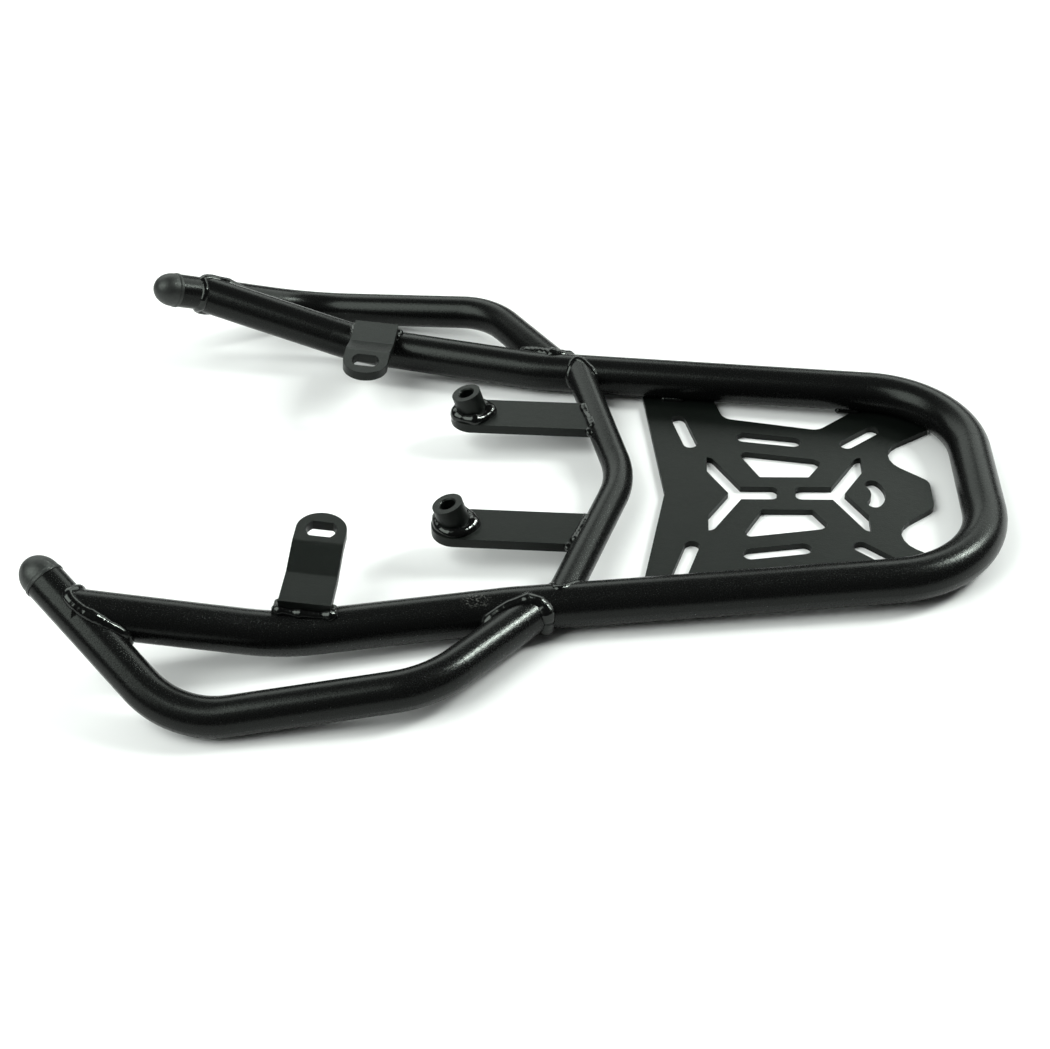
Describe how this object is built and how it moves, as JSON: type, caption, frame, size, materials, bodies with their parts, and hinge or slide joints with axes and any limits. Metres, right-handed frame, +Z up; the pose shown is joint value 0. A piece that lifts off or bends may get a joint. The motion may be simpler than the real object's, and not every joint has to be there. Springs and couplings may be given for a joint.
{
  "type": "motorcycle luggage rack",
  "caption": "Welded steel-tube luggage rack: U-shaped loop with a slotted flat plate, outward side bars with rubber tips, a bent cross tube, leaning bolt bosses and cranked brackets.",
  "frame": {"origin": "on the floor that the rack rests on, at the middle of its length and width", "axes": "+X along the rack towards the closed end of the loop, +Y to the right-hand side bar as laid, +Z up from the floor (the plate's load face points down, as the rack is laid)"},
  "size_m": [0.5357, 0.4218, 0.0703],
  "materials": {
    "tube_coat": "satin black powder coat on steel tube",
    "flat_coat": "fine-textured black powder coat on flat steel",
    "weld_coat": "glossy black powder coat over rippled weld beads",
    "rubber_tips": "matt moulded rubber"
  },
  "bodies": {
    "root": {"main_tube": "tube_coat", "outer_bar_left": "tube_coat", "outer_bar_right": "tube_coat", "end_plug_left": "rubber_tips", "end_plug_right": "rubber_tips", "cross_tube": "tube_coat", "tab_left": "flat_coat", "tab_right": "flat_coat", "boss_left": "flat_coat", "boss_right": "flat_coat", "bracket_left": "flat_coat", "bracket_right": "flat_coat", "rack_plate": "flat_coat", "weld_front_left": "weld_coat", "weld_front_right": "weld_coat", "weld_rear_left": "weld_coat", "weld_rear_right": "weld_coat", "weld_cross_left": "weld_coat", "weld_cross_right": "weld_coat", "weld_tab_left": "weld_coat", "weld_tab_right": "weld_coat", "weld_boss_left": "weld_coat", "weld_boss_right": "weld_coat", "weld_bracket_left": "weld_coat", "weld_bracket_right": "weld_coat", "weld_plate_left": "weld_coat", "weld_plate_right": "weld_coat"}
  },
  "joints": []
}
